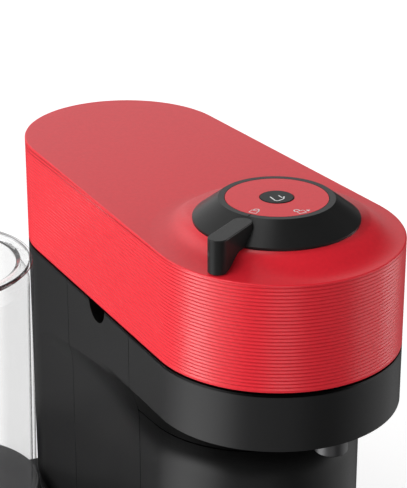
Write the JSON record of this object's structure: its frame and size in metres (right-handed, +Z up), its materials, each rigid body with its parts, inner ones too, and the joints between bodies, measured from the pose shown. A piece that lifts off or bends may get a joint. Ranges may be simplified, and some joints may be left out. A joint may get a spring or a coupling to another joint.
{
  "type": "capsule coffee machine",
  "caption": "Capsule coffee machine with a round-ended ribbed red lid, turning lock lever round a start button, black body with capsule drawer and drip tray, and a clear tank on a swing arm.",
  "frame": {"origin": "on the table under the axis of the lock dial", "axes": "+X to the machine's right, +Y to its rear, +Z up"},
  "size_m": [0.2435, 0.3256, 0.2503],
  "materials": {
    "black_plastic": "fine satin moulding",
    "red_plastic": "satin, ribbed wall",
    "dark_plastic": "matt moulding",
    "rubber": "matt",
    "clear_plastic": "clear, polished",
    "steel": "bright",
    "satin_grey": "satin metallic",
    "grid_plastic": "satin",
    "heater_aluminium": "cast",
    "board": "lacquered board",
    "motor_can": "plated"
  },
  "bodies": {
    "chassis": {"base_plate": "dark_plastic", "rubber_feet": "rubber", "rear_shell": "black_plastic", "side_panel_left": "black_plastic", "side_panel_right": "black_plastic", "head_shell": "black_plastic", "top_deck": "dark_plastic", "deck_screws": "steel", "hinge_bracket": "black_plastic", "hinge_pin": "steel", "inner_frame": "dark_plastic", "pivot_washer": "steel", "brew_chamber": "dark_plastic", "cage_bearing": "steel", "cage_motor": "motor_can", "coffee_spout": "satin_grey", "pump": "motor_can", "pump_cradle": "dark_plastic", "flow_meter": "dark_plastic", "supply_hose": "rubber", "pressure_hose": "rubber", "heater": "heater_aluminium", "power_board": "board", "cord_gland": "rubber"},
    "lid": {"lid_shell": "red_plastic", "lid_frame": "dark_plastic", "lid_screws": "steel", "injector_plate": "steel", "lid_gasket": "rubber", "dial_disc": "red_plastic", "light_guide": "clear_plastic", "button_board": "board"},
    "lever": {"lever_ring": "black_plastic", "lock_cam": "dark_plastic"},
    "button": {"brew_button": "black_plastic"},
    "cage": {"capsule_cage": "satin_grey", "cage_shaft": "steel"},
    "drawer": {"capsule_container": "black_plastic", "drip_tray": "black_plastic"},
    "grid": {"drip_grid": "grid_plastic"},
    "arm": {"tank_arm": "dark_plastic", "arm_feet": "rubber", "tank_base": "black_plastic", "valve_socket": "dark_plastic"},
    "tank": {"water_tank": "clear_plastic", "tank_valve": "dark_plastic"},
    "tank_cover": {"tank_lid": "clear_plastic"}
  },
  "joints": [
    {"name": "lid_hinge", "type": "hinge", "parent": "chassis", "child": "lid", "pos_m": [0, 0.211, 0.224], "axis": [-1, 0, 0], "range_deg": [0, 50]},
    {"name": "lever_turn", "type": "hinge", "parent": "lid", "child": "lever", "pos_m": [0, 0, 0.244], "axis": [0, 0, 1], "range_deg": [0, 66]},
    {"name": "button_press", "type": "slide", "parent": "lid", "child": "button", "axis": [0, 0, -1], "range_m": [0, 0.0015], "stiffness_N_per_m": 300, "springref_m": -0.002},
    {"name": "cage_spin", "type": "hinge", "parent": "chassis", "child": "cage", "pos_m": [0, 0, 0.15], "axis": [0, 0, 1], "continuous": true},
    {"name": "drawer_slide", "type": "slide", "parent": "chassis", "child": "drawer", "axis": [0, -1, 0], "range_m": [0, 0.095]},
    {"name": "grid_lift", "type": "slide", "parent": "drawer", "child": "grid", "axis": [0, 0, 1], "range_m": [0, 0.03]},
    {"name": "tank_swing", "type": "hinge", "parent": "chassis", "child": "arm", "pos_m": [0, 0.167, 0.008], "axis": [0, 0, 1], "range_deg": [-164, 0]},
    {"name": "tank_lift", "type": "slide", "parent": "arm", "child": "tank", "axis": [0, 0, 1], "range_m": [0, 0.022]},
    {"name": "tank_lid_lift", "type": "slide", "parent": "tank", "child": "tank_cover", "axis": [0, 0, 1], "range_m": [0, 0.012]}
  ]
}
